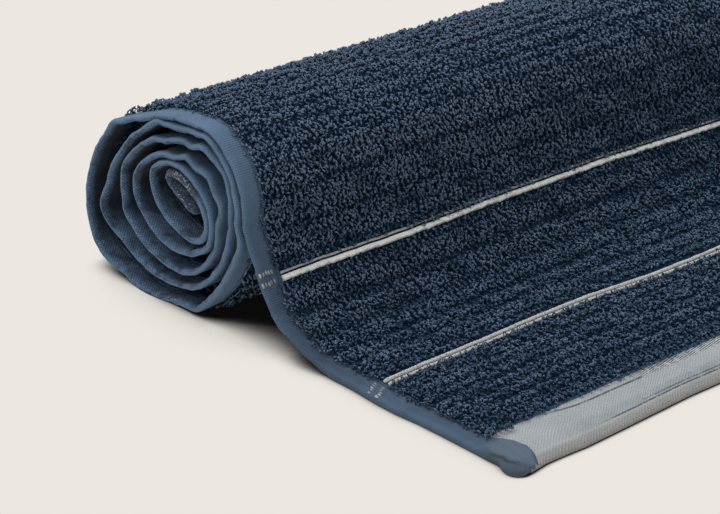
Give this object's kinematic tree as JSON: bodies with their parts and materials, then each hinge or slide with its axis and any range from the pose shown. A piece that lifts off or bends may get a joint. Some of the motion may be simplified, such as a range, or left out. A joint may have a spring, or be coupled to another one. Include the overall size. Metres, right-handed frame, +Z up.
{
  "type": "hand towel",
  "caption": "Terry hand towel partly rolled up, its free end falling from the roll to lie flat, with side hems and a woven end band.",
  "frame": {"origin": "middle of the towel's footprint, on the surface that it lies on", "axes": "+X along the roll, the width of the towel; -Y towards the free end on the floor; +Z up"},
  "size_m": [0.5, 0.2108, 0.0704],
  "materials": {
    "terry": "navy cotton loops, matt",
    "hem": "slate blue flat weave, matt",
    "band": "pale grey ribbed flat weave, matt"
  },
  "bodies": {
    "root": {"hand_towel": "terry"}
  },
  "joints": []
}
